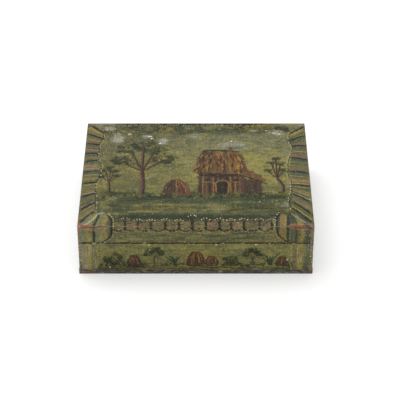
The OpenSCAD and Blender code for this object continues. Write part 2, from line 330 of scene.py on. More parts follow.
def aged(g, colour):
    """Wear over the finished painting, with painted shade at the seam and painted sheen at the back. Gives
    colour, roughness and relief.
    """
    colour, upright = worn_edges(g, colour)
    seam = g.from_seam()
    # Dark line along the seam between lid and base: painted shade of the gap, with old soiling.
    seam_shade_and_grime = g.smooth(g.total(seam, g.sway(g.noise(5, 4), 2.6)), 1.2, 0.5)
    nicks = g.times(g.smooth(seam, 2.2, 0.8), g.patches(0.6, 0.66, 2.6, 3, (1.8, 1.8, 0.6)))
    above = g.times(g.smooth(g.z, SEAM_Z, SEAM_Z + 0.5), g.smooth(g.z, SEAM_Z + 3.5, SEAM_Z + 1.0))
    red = g.smooth(g.total(g.noise(24, 4), g.times(g.x, 0.0006)), 0.5, 0.64)
    rim = g.smooth(upright, 10.0, 0.0)
    mauve = g.total(g.noise(5, 5, (1, 1, 1.6)), g.times(rim, 0.22))
    flakes = g.total(g.noise(2.2, 4, (1.3, 1, 1)), g.times(rim, 0.12))
    # Grey haze over the top at its back corners: a painted sheen, with dust.
    rear_sheen_and_dust = g.times(g.smooth(g.y, 99.0, 105.0), g.smooth(g.absolute(g.x), 84.0, 112.0),
                   g.smooth(g.facing[2], 0.1, 0.5), g.patches(0.4, 0.6, 8, 5, (2, 1, 1)))
    cells = g.cells(11)
    rare = g.math("GREATER_THAN", g.split(cells["Color"])[0], 0.88)
    chip = g.minus(cells["Distance"], g.sway(g.noise(2.0, 3), 0.22))
    hairs = g.total(g.noise(0.8, 3, (1, 34, 26)), g.sway(g.noise(14, 3), 0.25))
    speck = g.noise(1.7, 3, (1, 1.6, 1))
    colour = g.tints(
        colour,
        ((34, 29, 20), seam_shade_and_grime, 0.92),
        ((196, 184, 150), nicks, 0.85),
        ((114, 82, 62), g.times(above, red), 0.45),
        ((146, 122, 108), g.smooth(mauve, 0.64, 0.76), 0.65),
        ((186, 174, 156), g.smooth(flakes, 0.7, 0.75), 0.8),
        ((132, 131, 118), rear_sheen_and_dust, 0.7),
        ((204, 198, 180), g.times(rare, g.smooth(chip, 0.08, 0.03)), 0.9),
        ((46, 43, 33), g.patches(0.66, 0.74, 0.8, 2, (40, 1, 1)), 0.4),
        (PALE, g.smooth(hairs, 0.6, 0.78), 0.26),
        ((50, 52, 38), g.smooth(hairs, 0.44, 0.26), 0.34))
    colour = g.tints(
        g.scaled(colour, g.total(1.0, g.sway(speck, 1.5))),
        ((186, 176, 140), g.smooth(speck, 0.66, 0.76), 0.4),
        ((58, 52, 40), g.patches(0.6, 0.8, 3.2, 5), 0.5))
    roughness = g.total(0.42, g.times(g.noise(12, 4), 0.3))
    return colour, roughness, g.noise(1.8, 4, (8, 1, 1))


def wood_grain(g, along):
    """Bare old softwood with its grain along an axis. Gives colour and fibres."""
    stretch = (24, 1, 1) if along == "x" else (1, 24, 1)
    across = g.y if along == "x" else g.x
    bow = g.total(g.times(g.total(across, g.z), 1.1), g.sway(g.noise(9, 3, stretch), 14.0))
    fibres = g.noise(0.6, 4, stretch)
    colour = g.tints(
        g.mix(g.patches(0.35, 0.65, 5, 3, stretch, 0.3), (156, 122, 80), (124, 93, 60)),
        ((104, 72, 44), g.smooth(g.math("SINE", bow), -0.2, 1.0), 0.5),
        ((74, 54, 37), g.smooth(fibres, 0.52, 0.72), 0.5),
        ((84, 66, 48), g.patches(0.5, 0.75, 24, 4), 0.5),
        ((52, 42, 33), g.patches(0.64, 0.74, 3, 5), 0.6))
    return colour, fibres


def painted_wood(along):
    """A board painted on its outer faces and bare inside, darker about the hinges near the seam."""
    g = Surface("painted_wood_" + along)
    colour, roughness, relief = aged(g, paint_coat(g))
    depth = g.least(g.from_side(), g.from_end(), g.from_top())
    inside = g.smooth(g.total(depth, g.sway(g.noise(4, 3), 1.6)), 1.1, 1.7)
    # Darker in the hinge groove at the back, near the seam.
    hinged = g.total(g.from_back(), g.sway(g.noise(6, 4), 3.0))
    hinge_darkening = g.times(g.smooth(hinged, 8.0, 4.0), g.smooth(g.from_seam(), 6.0, 4.0))
    wood = g.tints(wood_grain(g, along)[0], ((50, 44, 32), hinge_darkening, 0.8))
    return g.finish(g.mix(inside, colour, wood), roughness, relief, 0.12, gloss=PAINT_GLOSS)


def stroke_paint():
    """Soft strokes that break up and thin out into the paint under them, aged together with it.

    They are lit as if they lay flat on their board, so that their thin edges cast no outline.
    """
    g = Surface("stroke_paint")
    paint, under = g.attribute("paint"), g.attribute("under")
    run, facing = g.attribute("run")["Vector"], g.attribute("facing")["Vector"]
    g.facing = g.split(facing)
    bristles = g.noise(1.0, 3, (8, 0.5, 1), where=run)
    worn_off = g.noise(2.6, 4, (1.8, 1, 1))
    edge = g.total(paint["Alpha"], g.sway(bristles, 1.2), g.sway(worn_off, 0.9))
    cover = g.times(g.smooth(edge, 0.12, 0.56), g.split(run)[2])
    shade = g.total(0.7, g.times(g.noise(1.0, 4, (7, 0.4, 1), where=run), 0.6))
    bare = g.scaled(paint_coat(g), g.minus(1.0, under["Alpha"]))
    below = g.vectors("ADD", bare, under["Color"])
    colour, roughness, relief = aged(g, g.mix(cover, below, g.scaled(paint["Color"], shade)))
    turned = g.node("ShaderNodeVectorTransform", {0: facing}, vector_type="NORMAL",
                    convert_from="OBJECT", convert_to="WORLD")
    return g.finish(colour, roughness, relief, 0.1, gloss=PAINT_GLOSS, normal=turned.outputs[0])


def bottom_wood():
    """The bottom board: dark worn paint on its edge, bare wood below."""
    g = Surface("bottom_wood")
    wood, fibres = wood_grain(g, "x")
    corner = g.total(g.most(g.from_side(), g.from_end()), g.sway(g.noise(5, 5), 36.0))
    edge = g.tints(
        g.mix(g.patches(0.4, 0.62, 2.4, 5, (5, 5, 1)), (42, 40, 35), (84, 80, 68)),
        ((104, 68, 56), g.patches(0.54, 0.64, 12, 5, (2, 2, 1)), 0.6),
        ((168, 162, 146), g.patches(0.56, 0.68, 1.2, 5, (7, 7, 1)), 0.75),
        ((108, 72, 58), g.smooth(corner, 10.0, 2.0), 0.8))
    below = g.smooth(g.facing[2], -0.3, -0.7)
    return g.finish(g.mix(below, edge, wood), 0.65, fibres, 0.15)


def iron():
    """Hand-forged iron, blackened and rusted."""
    g = Surface("iron")
    rust = g.patches(0.45, 0.65, 2.5, 5)
    colour = g.mix(rust, (62, 58, 54), (108, 66, 40))
    roughness = g.total(0.45, g.times(rust, 0.35))
    metallic = g.minus(0.85, g.times(rust, 0.7))
    return g.finish(colour, roughness, g.noise(0.8, 4), 0.08, metallic)


def lining_paper():
    """Old laid paper, foxed and stained, and darker where its flat sheets meet the walls."""
    g = Surface("lining_paper")
    fibre = g.noise(0.6, 4, (5, 5, 1))
    stain = g.noise(46, 5, (1, 1, 1), 0.5)
    tide = g.times(g.smooth(stain, 0.56, 0.58), g.smooth(stain, 0.61, 0.58))
    cells = g.cells(11)
    rare = g.math("GREATER_THAN", g.split(cells["Color"])[1], 0.72)
    # The flat sheets get darker near the walls.
    level = g.smooth(g.absolute(g.facing[2]), 0.4, 0.6)
    inwards = g.least(g.from_side(INNER_W), g.from_end(INNER_D))
    rim = g.smooth(g.total(inwards, g.sway(g.noise(7, 4), 9.0)), 8.0, 0.0)
    laid = g.math("SINE", g.times(g.total(g.x, g.y), 4.2))
    colour = g.tints(
        g.mix(g.smooth(fibre, 0.35, 0.7), (186, 168, 128), (204, 189, 152)),
        ((168, 143, 100), g.smooth(stain, 0.5, 0.7), 0.5),
        ((146, 116, 74), tide, 0.32),
        ((128, 88, 52), g.times(rare, g.smooth(cells["Distance"], 0.18, 0.05)), 0.6),
        ((112, 92, 66), g.times(rim, level), 0.6),
        ((150, 128, 92), g.patches(0.62, 0.74, 1.4, 4, (14, 1.5, 1), 0.4), 0.4),
        ((150, 132, 98), g.smooth(laid, 0.2, 1.0), 0.1))
    return g.finish(colour, 0.85, g.total(fibre, g.times(laid, 0.1)), 0.08)


# Brush work

def lid_surface(u, v):
    """A point of the lid: its top at x = u, y = v, and on over the rounded edges down the walls."""
    flat_x, flat_y = HALF_W - EDGE_R, HALF_D - EDGE_R
    over_x, over_y = abs(u) - flat_x, abs(v) - flat_y
    if over_x <= 0 and over_y <= 0:
        return Vector((u, v, TOP_Z)), Vector((0, 0, 1))
    over = max(over_x, over_y)
    angle = min(over, EDGE_ARC) / EDGE_R
    out, rise = math.sin(angle), math.cos(angle)
    z = TOP_Z - EDGE_R * (1 - rise) - max(over - EDGE_ARC, 0)
    if over_y >= over_x:
        sign = math.copysign(1, v)
        return Vector((u, sign * (flat_y + EDGE_R * out), z)), Vector((0, sign * out, rise))
    sign = math.copysign(1, u)
    return Vector((sign * (flat_x + EDGE_R * out), v, z)), Vector((sign * out, 0, rise))


def down(z, half):
    """How far from the middle of the lid's top the height z on its wall lies, along lid_surface."""
    return half - EDGE_R + EDGE_ARC + TOP_Z - EDGE_R - z


# Each base wall's normal, and its direction to the right as seen from outside.
WALL_AXES = {
    "front": ((0, -1, 0), (1, 0, 0)), "back": ((0, 1, 0), (-1, 0, 0)),
    "left": ((-1, 0, 0), (0, -1, 0)), "right": ((1, 0, 0), (0, 1, 0)),
}


def wall_surface(side):
    """A base wall with u to the right, seen from outside, and v up."""
    outward, across = (Vector(axis) for axis in WALL_AXES[side])
    half = HALF_D if side in ("front", "back") else HALF_W

    def surface(u, v):
        return outward * half + across * u + Vector((0, 0, v)), outward
    return surface


class Brush:
    """Gathers brush strokes and beads on a surface into one thin closed mesh.

    A canvas of small cells keeps the colour and the layer that the paint has reached there,
    so a soft edge fades into the paint under it and a stroke lies just above what it crosses.
    """

    # Across a stroke: place, lift and fullness of the paint.
    SECTION = ((-1.0, 0.0, 0.0), (-0.93, 1.0, 0.1), (0.0, 1.0, 1.0), (0.93, 1.0, 0.1), (1.0, 0.0, 0.0))
    SUNK = 0.02
    CROWN = 0.02
    LAYER = 0.001
    CELL = 0.8
    # Lengths of a stroke's steps, and over a rounded edge.
    SHORT_STEP = 1.6
    LONG_STEP = 5.0
    BEND_STEP = 0.45
    # Shares of a stroke's length in which its ends taper.
    TAPER_IN = 0.22
    TAPER_OUT = 0.3
    # How quickly a stroke sways and swells along its length, and by what share it swells.
    SWAY_RATE = 0.45
    SWELL_RATE = 0.9
    SWELL = 0.14
    # How quickly the paint gets solid from a stroke's edge inwards.
    SOLID = 1.8
    # Each stroke's bristle marks start anywhere along this length.
    RUN_SPAN = 500
    # Rings of a bead: share of the radius and of the height, and how far its sides turn the light.
    BEAD_RINGS = ((0.82, 0.62), (0.42, 0.95))
    BEAD_LEAN = 1.4
    BEAD_COVER = 0.95
    # A cell without paint: colour times share, share and layer.
    BARE = (0.0, 0.0, 0.0, 0.0, 0)
    # A flat map over the strokes' surface. Faces lie in painting order, so where they overlap on it the upper
    # stroke wins.
    FLAT_MAP = "OFBake"

    def __init__(self, surface, seed, canvas=None):
        self.surface = surface
        self.random = random.Random(seed)
        self.pick, self.vary = self.random.choice, self.random.uniform
        self.canvas = {} if canvas is None else canvas
        self.points, self.tops, self.floors = [], [], []
        self.paint, self.under, self.run, self.facing, self.flat = [], [], [], [], []

    def cell(self, u, v):
        return round(u / self.CELL), round(v / self.CELL)

    def point(self, u, v, lift, paint, run, lean=None):
        spot, normal = self.surface(u, v)
        self.points.append((spot + normal * lift) * MM)
        self.paint.append(paint)
        self.under.append(self.canvas.get(self.cell(u, v), self.BARE)[:4])
        self.run.append(run)
        self.facing.append(normal if lean is None else (normal + lean).normalized())
        self.flat.append((u, v))
        return len(self.points) - 1

    def toned(self, colour, spread=0.1):
        """The colour with a little chance in it, linear."""
        share = 1 + self.vary(-spread, spread)
        return tuple(channel * share for channel in linear(colour)[:3])

    def stroke(self, path, width, colour, cover=0.9, blunt=0.5, wobble=0.25):
        """A stroke along (u, v) points. blunt is the share of the width left near its ends."""
        step = max(self.SHORT_STEP, min(width * 1.2, self.LONG_STEP))
        line = self.bent(squared(smooth_path(path, step), blunt))
        tone = self.toned(colour)
        start, sway = self.vary(0, self.RUN_SPAN), self.vary(0, 6)
        last, spine, along = len(line) - 1, [], 0.0
        for i, (u, v) in enumerate(line):
            du, dv = heading(line, i, width * 0.6)
            nu, nv = -dv, du
            along += math.dist(line[max(i - 1, 0)], (u, v))
            shift = wobble * math.sin(sway + along * self.SWAY_RATE) * min(1.0, width / 2)
            share = i / last
            taper = blunt + (1 - blunt) * min(share / self.TAPER_IN, (1 - share) / self.TAPER_OUT)
            swell = 1 + self.SWELL * math.sin(sway * 3 + along * self.SWELL_RATE)
            half = width / 2 * min(1.0, taper) * swell
            spine.append((u + nu * shift, v + nv * shift, nu, nv, half, along))
        cells = self.crossed(spine)
        layer = 1 + max(self.canvas.get(cell, self.BARE)[4] for cell in cells)
        rise = self.CROWN + self.LAYER * layer + self.SUNK
        rows = []
        for i, (u, v, nu, nv, half, along) in enumerate(spine):
            section = ((0.0, 0.0, 0.0),) if i in (0, last) else self.SECTION
            rows.append([
                self.point(u + nu * half * across, v + nv * half * across, rise * lift - self.SUNK,
                           (*tone, full), (start + along, half * across, cover))
                for across, lift, full in section])
        self.skin(rows)
        for cell, full in cells.items():
            share = cover * min(1.0, self.SOLID * full)
            old = self.canvas.get(cell, self.BARE)
            self.canvas[cell] = (*(a + (b - a) * share for a, b in zip(old, (*tone, 1.0))), layer)

    def bent(self, line):
        """The line with points close enough to follow each rounded edge that it crosses."""
        close = [line[0]]
        for a, b in zip(line, line[1:]):
            level = self.surface(*a)[1].dot(self.surface(*b)[1]) > 0.999
            count = 1 if level else math.ceil(math.dist(a, b) / self.BEND_STEP)
            close.extend(between(a, b, k / count) for k in range(1, count + 1))
        return close

    def crossed(self, spine):
        """The cells under a stroke, each with the fullness of the paint on it."""
        cells = {}
        for (u, v, nu, nv, half, _), (next_u, next_v, _, _, next_half, _) in zip(spine, spine[1:]):
            steps = math.ceil(math.dist((u, v), (next_u, next_v)) / self.CELL) or 1
            for k in range(steps + 1):
                share = k / steps
                mid_u, mid_v = between((u, v), (next_u, next_v), share)
                reach = half + (next_half - half) * share
                sides = math.ceil(reach / self.CELL) or 1
                for j in range(-sides, sides + 1):
                    across = j / sides
                    cell = self.cell(mid_u + nu * reach * across, mid_v + nv * reach * across)
                    cells[cell] = max(cells.get(cell, 0.0), 1 - abs(across))
        return cells

    def skin(self, rows):
        """Faces over the rows of a stroke, closed below and at both ends."""
        steps = len(self.SECTION) - 1
        first, final = rows[0][0], rows[-1][0]
        for k in range(steps):
            self.tops.append((first, rows[1][k], rows[1][k + 1]))
            self.tops.append((rows[-2][k], final, rows[-2][k + 1]))
        self.floors.append((first, rows[1][steps], rows[1][0]))
        self.floors.append((final, rows[-2][0], rows[-2][steps]))
        for a, b in zip(rows[1:-2], rows[2:-1]):
            for k in range(steps):
                self.tops.append((a[k], b[k], b[k + 1], a[k + 1]))
            self.floors.append((a[steps], b[steps], b[0], a[0]))

    def bead(self, u, v, radius, colour=CREAM, long=1.0, height=0.35, sides=8):
        """A raised dot of thick paint, drawn out along v by long."""
        paint = (*self.toned(colour, 0.16), 1.5)
        start = self.vary(0, self.RUN_SPAN)
        middle = self.surface(u, v)[0]
        rings = []
        for share, lift in ((1.0, -self.SUNK), *((size, height * rise) for size, rise in self.BEAD_RINGS)):
            ring = []
            for k in range(sides):
                turn = 2 * math.pi * k / sides
                spot_u = u + radius * share * math.cos(turn)
                spot_v = v + radius * long * share * math.sin(turn)
                lean = (self.surface(spot_u, spot_v)[0] - middle).normalized() * share * self.BEAD_LEAN
                run = (start + math.cos(turn), math.sin(turn), self.BEAD_COVER)
                ring.append(self.point(spot_u, spot_v, lift, paint, run, lean))
            rings.append(ring)
        peak = self.point(u, v, height, paint, (start, 0.0, self.BEAD_COVER))
        for low, high in zip(rings, rings[1:]):
            for k in range(sides):
                nxt = (k + 1) % sides
                self.tops.append((low[k], low[nxt], high[nxt], high[k]))
        for k in range(sides):
            self.tops.append((rings[-1][k], rings[-1][(k + 1) % sides], peak))
        self.floors.append(tuple(reversed(rings[0])))

    def piece(self, name, body):
        """All the strokes and beads as one object that rides on a body."""
        mesh = bpy.data.meshes.new(name)
        mesh.from_pydata(self.points, [], self.floors + self.tops)
        smooth = [False] * len(self.floors) + [True] * len(self.tops)
        mesh.polygons.foreach_set("use_smooth", smooth)
        for key in ("paint", "under", "run", "facing"):
            kind = "color" if key in ("paint", "under") else "vector"
            values = mesh.attributes.new(key, "FLOAT_" + kind.upper(), "POINT").data
            values.foreach_set(kind, [value for row in getattr(self, key) for value in row])
        low = [min(values) for values in zip(*self.flat)]
        span = [max(values) - start for values, start in zip(zip(*self.flat), low)]
        flat = mesh.uv_layers.new(name=self.FLAT_MAP)
        flat.data.foreach_set("uv", [
            (value - start) / length for loop in mesh.loops
            for value, start, length in zip(self.flat[loop.vertex_index], low, span)])
        mesh.materials.append(STROKE_PAINT)
        made = bpy.data.objects.new(name, mesh)
        bpy.context.scene.collection.objects.link(made)
        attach(made, body)


def smooth_path(path, step):
    """A Catmull-Rom curve through the points, as at least five points about a step apart."""
    points = [path[0], *path, path[-1]]
    line = []
    for i in range(len(path) - 1):
        p0, p1, p2, p3 = points[i:i + 4]
        length = math.hypot(p2[0] - p1[0], p2[1] - p1[1])
        count = max(2 if len(path) > 2 else 4, round(length / step))
        for k in range(count):
            t = k / count
            line.append(tuple(
                0.5 * (2 * b + (c - a) * t + (2 * a - 5 * b + 4 * c - d) * t ** 2
                       + (3 * b - a - 3 * c + d) * t ** 3)
                for a, b, c, d in zip(p0, p1, p2, p3)))
    line.append(path[-1])
    return line


def squared(line, blunt):
    """The line with a point just inside each end, so that a blunt stroke ends square."""
    inset = 0.2 + 0.3 * (1 - blunt)
    start, end = between(line[0], line[1], inset), between(line[-1], line[-2], inset)
    return [line[0], start, *line[1:-1], end, line[-1]]


def heading(line, i, reach):
    """The direction of a line at its point i, taken between points a reach before and after it."""
    start, end = i, i
    while start > 0 and (start == i or math.dist(line[start], line[i]) < reach):
        start -= 1
    while end < len(line) - 1 and (end == i or math.dist(line[end], line[i]) < reach):
        end += 1
    du, dv = line[end][0] - line[start][0], line[end][1] - line[start][1]
    length = math.hypot(du, dv) or 1.0
    return du / length, dv / length


def between(a, b, share):
    return a[0] + (b[0] - a[0]) * share, a[1] + (b[1] - a[1]) * share


def mirrored(side, points):
    """Points given by their distance from the middle, on the left (-1) or the right (1)."""
    return [(side * u, v) for u, v in points]


def shifted(path, du):
    return [(u + du, v) for u, v in path]


def dashes(brush, path, width, colour, cover=0.9, dash=3.4, gap=1.2):
    """A line of short strokes along a path."""
    line = smooth_path(path, 0.6)
    reach = 0.0
    start = None
    for a, b in zip(line, line[1:]):
        reach += math.hypot(b[0] - a[0], b[1] - a[1])
        start = start or a
        if reach > dash:
            brush.stroke([start, b], width * brush.vary(0.8, 1.25), colour, cover, 0.4)
            start, reach = None, -gap
        elif reach < 0:
            start = None


# Ornament of the lid

# Rays of the side borders: y at the outer edge, then y and distance from the middle at the inner end.
LEFT_RAYS = (
    (106, 86, 118), (84, 73, 118), (63, 59, 121), (41, 41, 123), (23, 25, 122), (1, 3, 119),
    (-24, -21, 120), (-51, -44, 122), (-77, -61.5, 121), (-104.5, -80.5, 122),
)
RIGHT_RAYS = (
    (100, 85, 120), (80, 70, 119), (58, 57, 121), (27, 32, 118), (-2, 2, 114), (-29, -26, 117),
    (-62, -44, 117), (-85, -60, 115), (-103.5, -73.5, 115),
)
# How far forward and back the rays' feet stand on the lid's sides.
FRONT_FOOT, BACK_FOOT = -101, 103
# Bands between two rays: place across and width, as shares of the gap.
RAY_BANDS = ((0.2, 0.34), (0.42, 0.4), (0.66, 0.36), (0.86, 0.28))
BORDER_TONES = (OCHRE, OLIVE, TAN, GREEN, (132, 114, 82), TAN, OLIVE)
RAY_SHADES = (GREEN, (118, 98, 84), (124, 100, 86), (110, 98, 90))
RAY_STREAKS = 8
RAY_STREAK_TONES = (DARK_TEAL, DARK_TEAL, (164, 148, 92), TEAL, (158, 138, 76), (112, 98, 86), GREEN)
# The scalloped line inside each border: distance from the middle and y.
LEFT_RIM = (
    (118, 86), (118.5, 72), (123, 60), (121, 49), (123.5, 41), (121.5, 28), (117.5, 14), (118, -7),
    (121, -17), (122.5, -30), (122, -42), (121, -53), (121, -65), (119.5, -80),
)
RIGHT_RIM = (
    (119, 86), (118, 70), (121, 55), (120.5, 46), (115, 24), (114, 9), (113.5, -5), (116.5, -17),
    (116, -30), (116.5, -40), (113, -53), (113, -67), (114, -74),
)
RIM_BEAD_SHARE = 0.66


def side_border(brush, side, rays, rim):
    """The radiating stripes of the left (-1) or right (1) border, and its dotted inner line."""
    pick, vary = brush.pick, brush.vary
    foot = down(SEAM_Z + 1.2, HALF_W)
    lines = []
    for outer, inner, inner_x in rays:
        low = min(max(outer, FRONT_FOOT), BACK_FOOT)
        ray = (foot, low), (HALF_W + 2, low), (HALF_W - 2, outer), (inner_x, inner)
        lines.append(mirrored(side, ray))

    def along(upper, lower, share):
        return [between(a, b, share) for a, b in zip(upper, lower)]

    for i, (upper, lower) in enumerate(zip(lines, lines[1:])):
        gap = abs(upper[0][1] - lower[0][1])
        tones = (TEAL, *(BORDER_TONES[k % len(BORDER_TONES)] for k in (i, i + 3)), pick(RAY_SHADES))
        for (share, width), tone in zip(RAY_BANDS, tones):
            brush.stroke(along(upper, lower, share), gap * width * vary(0.8, 1.2), tone, 0.8, 0.8)
        for _ in range(RAY_STREAKS):
            tone = pick(RAY_STREAK_TONES)
            brush.stroke(along(upper, lower, vary(0.1, 0.9))[2:], vary(1.2, 2.6), tone, 0.6)
    for line in lines:
        outer, inner = line[2:]
        middle = between(outer, inner, 0.5)
        brush.stroke([*line[:3], (middle[0], middle[1] + 0.4), inner], 5.4, DARK_TEAL, 0.8, 0.8)
        core = [between(outer, inner, 0.04), (middle[0], middle[1] + 0.9), inner]
        brush.stroke(core, 3.2, DARK, 1.0, 0.5)
    edge = mirrored(side, rim)
    dashes(brush, edge, 2.1, DARK, 1.0)
    for u, v in smooth_path(edge, 3.0):
        if brush.random.random() < RIM_BEAD_SHARE:
            spot = u - side * vary(0.2, 1.8), v + vary(-1, 1)
            brush.bead(*spot, vary(0.5, 0.8), long=1.3)


FRONT_TICKS = (-83.6, -68.6, -53.1, -36.1, -19.9, -4.3, 11.5, 27.8, 41.5, 56.6, 75.0, 89.8)
BACK_TICKS = tuple(-u for u in reversed(FRONT_TICKS))
MIDDLE_TICK = 5
END_GAP = 14.9
# The ground between two ticks, at the front and at the back.
FRONT_BAYS = ((124, 110, 74), (106, 98, 62), (118, 94, 70), (96, 90, 60))
BACK_BAYS = ((36, 43, 36), (44, 45, 36))
PALE_MARKS = ((152, 140, 100), (138, 114, 92), (134, 126, 86), (164, 152, 108), (128, 108, 94))
DARK_MARKS = (UMBER, DARK_TEAL, BROWN, RUSSET, UMBER)
# Dabs of each bay: how many, tones, width and cover.
BAY_DABS = ((7, PALE_MARKS, 3.0, 0.62), (13, DARK_MARKS, 1.7, 0.9))
TICK_TONES = (DARK, UMBER, UMBER, DARK, BROWN)
FESTOON_Z = 66
# Beads of a festoon, as shares of its bay, and of a tick's crown, in degrees.
FESTOON_BEADS = (0.15, 0.3, 0.5, 0.7, 0.85)
FESTOON_BEAD_SHARE = 0.7
CROWN_BEADS = (20, 65, 110, 155)
# Where the edge is rubbed pale beside a tick.
EDGE_RUBS = (-0.4, 0.6)


def tick_band(brush, sign, ticks, middle, reach, tones, size):
    """Ticks crowned by beads over the front (-1) or back (1) edge, with dotted festoons below them."""
    pick, vary = brush.pick, brush.vary
    crown_v = sign * (HALF_D - reach)
    foot = sign * down(FESTOON_Z, HALF_D)
    edge = sign * (HALF_D - 0.4)
    for a, b in zip((ticks[0] - END_GAP, *ticks), ticks):
        centre, gap = (a + b) / 2, b - a
        ground = [(centre, crown_v + sign * 2), (centre, foot - sign)]
        brush.stroke(ground, gap * 0.95, pick(tones), 0.8, 0.95)
        brush.stroke([(centre, edge), (centre, foot - sign)], gap * 0.95, (146, 136, 98), 0.4, 0.95)
        for count, marks, wide, cover in BAY_DABS:
            for _ in range(count):
                u, v = vary(a + 2, b - 5), vary(crown_v + sign * 2, foot)
                tip = (u + vary(1.5, 4.5), v + vary(-1.2, 1.2))
                brush.stroke([(u, v), tip], wide * vary(0.6, 1.3), pick(marks), cover, 0.1)
        for v, bulge, width in ((crown_v + sign * 2.5, -0.8, 1.9), (foot - sign, 3.0, 2.5)):
            arc = [(a + 1, v), (centre, v + sign * bulge), (b - 1, v)]
            dashes(brush, arc, width, UMBER, 1.0, 3.0, 0.8)
        for share in FESTOON_BEADS:
            if brush.random.random() < FESTOON_BEAD_SHARE:
                depth = 1.4 + 2.6 * math.sin(math.pi * share)
                brush.bead(a + gap * share, foot + sign * depth, vary(0.4, 0.7), (186, 174, 120))
    for i, u in enumerate(ticks):
        tall = 7 if i == middle else vary(-1.5, 1.5)
        top_v = crown_v - sign * tall
        low_v = foot + sign * max(tall, 0) * 0.4
        width, tone, hairs = (6.4, DARK_TEAL, 6) if i == middle else (4.8, UMBER, 5)
        brush.stroke([(u, top_v), (u + 0.4, edge), (u, low_v)], width, tone, 0.8, 0.4)
        for _ in range(hairs):
            x = u + vary(-2.6, 2.4)
            head, tail = top_v + sign * vary(0, 3), foot + sign * vary(-2, 1.5)
            path = [(x, head), (u, edge), (x, tail)]
            brush.stroke(path, vary(1.2, 2.4), pick(TICK_TONES), 1.0, 0.25)
        for rub in EDGE_RUBS if i != middle else ():
            v = edge + sign * rub
            ends = [(u - vary(2, 5), v), (u + vary(2, 5), v)]
            brush.stroke(ends, 0.9, pick(PALE_MARKS), 0.6, 0.1)
        for turn in CROWN_BEADS:
            angle = math.radians(turn + vary(-12, 12))
            lift = 0.3 * reach * math.sin(angle) - 0.8
            spot = u + 5.0 * math.cos(angle), top_v - sign * lift
            brush.bead(*spot, size * vary(0.7, 1.05), long=1.35)


# Stripes of the front corners: distance from the middle at the edge and at the mitre, width, tone.
LEFT_CORNER = (
    (134, 123, 8.0, (120, 122, 94)), (127.4, 118, 9.0, (140, 126, 74)), (120.6, 114.5, 4.6, DARK),
    (116.4, 112, 6.0, (108, 114, 80)), (109.5, 107, 12.0, (138, 122, 78)),
)
RIGHT_CORNER = (
    (132.6, 121, 9.6, (70, 78, 66)), (125, 118, 7.4, (132, 119, 66)), (118.6, 115, 6.0, (56, 62, 52)),
    (113.6, 112, 5.4, (84, 79, 64)), (109, 110, 5.2, DARK_TEAL), (105, 107, 4.6, (142, 125, 64)),
    (99.4, 103, 8.6, (132, 112, 70)),
)
MITRE_V = -86
# The dark bow inside each corner: distance from the middle and y on the top, then distance and z.
LEFT_BOW = ((106, -86), (100.5, -95), (99.5, -109)), ((100, 58), (105, 51.5), (113, 47.4))
RIGHT_BOW = ((101, -83), (96.5, -92), (95.5, -109)), ((96.6, 61), (100, 55), (109, 47.6))
# The pale streak along each mitre, with its width and share.
LEFT_MITRE = ((134.2, -107.6), (127, -103), (117, -86.5)), 4.4, 0.62
RIGHT_MITRE = ((131, -103.5), (122, -94), (113, -84.6)), 3.2, 0.4
CORNER_STREAKS = 22
CORNER_STREAK_TONES = (OLIVE, DARK_TEAL, (166, 150, 100), (158, 144, 98), TEAL)


def corner_block(brush, side, stripes, bow, mitre):
    """The stripes of a front corner, from the top's mitre over the edge and down the front."""
    pick, vary = brush.pick, brush.vary
    foot = -down(SEAM_Z + 1.0, HALF_D)
    edge = -(HALF_D - 1)
    for x, inner_x, width, tone in stripes:
        path = (x, foot), (x, -down(58, HALF_D)), (x, edge), (inner_x, MITRE_V)
        brush.stroke(mirrored(side, path), width, tone, 0.85, 0.9)
    for _ in range(CORNER_STREAKS):
        x = vary(103, 136)
        start, long = vary(foot, edge), vary(3, 9)
        tone = pick(CORNER_STREAK_TONES)
        path = mirrored(side, ((x, start), (x - 0.5, start + long)))
        brush.stroke(path, vary(0.9, 2.0), tone, 0.6, 0.2)
    streak, width, share = mitre
    streak = mirrored(side, streak)
    brush.stroke(streak, width, (156, 161, 136), share, 0.1)
    brush.stroke(streak, width * 0.35, (182, 186, 166), share, 0.1)
    top, front = bow
    line = mirrored(side, (*top, *((x, -down(z, HALF_D)) for x, z in front)))
    brush.stroke(shifted(line[:5], side * 1.5), 7.0, DARK_TEAL, 0.6, 0.2)
    brush.stroke(line, 3.2, DARK, 0.95)
    rim = shifted(line, -side * 2.2)
    dashes(brush, rim[3:], 1.5, (176, 158, 112), 0.6, 4.0, 1.4)
    for u, v in smooth_path(rim[:3], 4.2):
        brush.bead(u, v, vary(0.6, 0.85), long=1.2)


# Streaks of the plain strip under the festoons: how many, half length and heights of the strip, tones.
FIELD_STREAKS = 70
FIELD_HALF = 98
FIELD_LOW, FIELD_HIGH = 48, 62
FIELD_TONES = ((130, 123, 76), (78, 88, 58), (62, 70, 48), (136, 128, 86), (96, 84, 62), (98, 110, 80))


def lid_front_field(brush):
    """Streaks of the plain strip under the festoons."""
    pick, vary = brush.pick, brush.vary
    for _ in range(FIELD_STREAKS):
        long = vary(8, 30)
        u, z = vary(-FIELD_HALF, FIELD_HALF - long), vary(FIELD_LOW, FIELD_HIGH)
        tone = pick(FIELD_TONES)
        rise = vary(-0.7, 0.7)
        path = [(u, -down(z, HALF_D)), (u + long, -down(z + rise, HALF_D))]
        brush.stroke(path, vary(1.6, 4.0), tone, 0.6)


# Where the front edge is rubbed through to red: start and length.
RED_RUBS = ((-75, 13), (23, 9), (-2, 4))
RUBBED_RED = (126, 68, 52)


def red_rubs(brush):
    """Short stretches of the lid's front edge, worn to the red under the paint."""
    vary = brush.vary
    for u, long in RED_RUBS:
        for rub in (-0.6, 1.2):
            start = (u + vary(0, 2), -HALF_D + rub)
            tip = (u + long * vary(0.7, 1.0), -HALF_D + rub + vary(-0.4, 0.4))
            brush.stroke([start, tip], 1.8, RUBBED_RED, 0.85, 0.1)


# Pictures

PICTURE_SEED, ORNAMENT_SEED, FIRST_WALL_SEED = 23, 11, 40
